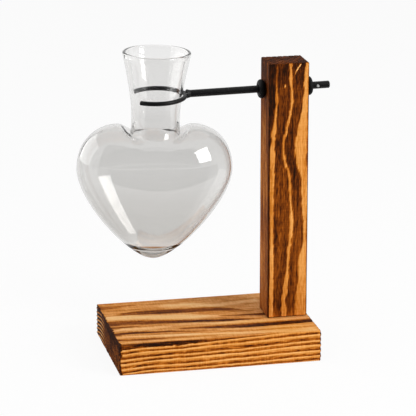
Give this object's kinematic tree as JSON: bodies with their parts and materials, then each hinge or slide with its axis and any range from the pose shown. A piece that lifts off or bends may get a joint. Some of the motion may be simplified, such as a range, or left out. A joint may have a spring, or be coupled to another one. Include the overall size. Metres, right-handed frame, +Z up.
{
  "type": "hanging glass vase on a wooden stand",
  "caption": "Heart-shaped blown-glass bud vase with a flared neck, hung in a wire ring on a swivelling rod through the post of a burnt-wood stand.",
  "frame": {"origin": "centre of the base board's underside", "axes": "+Z up; +X along the base board towards the post; +Y from front to back, the heart's front facing -Y"},
  "size_m": [0.174, 0.09, 0.2116],
  "materials": {
    "base_wood": "burnt and brushed pine with raised, dark grain lines and charred edges",
    "post_wood": "burnt and brushed pine with wide wavy dark bands and light orange streaks",
    "screw_steel": "plain zinc-plated screw steel",
    "black_metal": "satin black paint on steel wire, with a chip and light rubbing",
    "weld_metal": "painted weld, rough and slightly brighter on its crest",
    "black_rubber": "soft black rubber, satin",
    "clear_glass": "clear blown glass, polished, with a faint grey tint and a thick solid tip"
  },
  "bodies": {
    "stand": {"base": "base_wood", "post": "post_wood", "post_screw_front": "screw_steel", "post_screw_back": "screw_steel"},
    "arm": {"swivel_rod": "black_metal", "neck_ring": "black_metal", "weld_bead": "weld_metal", "rubber_ring_inner": "black_rubber", "rubber_ring_outer": "black_rubber"},
    "vase": {"vase": "clear_glass"}
  },
  "joints": [
    {"name": "arm_swivel", "type": "hinge", "parent": "stand", "child": "arm", "pos_m": [0.054, 0, 0.1822], "axis": [0.9999, 0, 0.0157], "continuous": true},
    {"name": "vase_turn", "type": "hinge", "parent": "arm", "child": "vase", "pos_m": [-0.03499, 0, 0.1808], "axis": [0.0244, 0, 0.9997], "continuous": true}
  ]
}
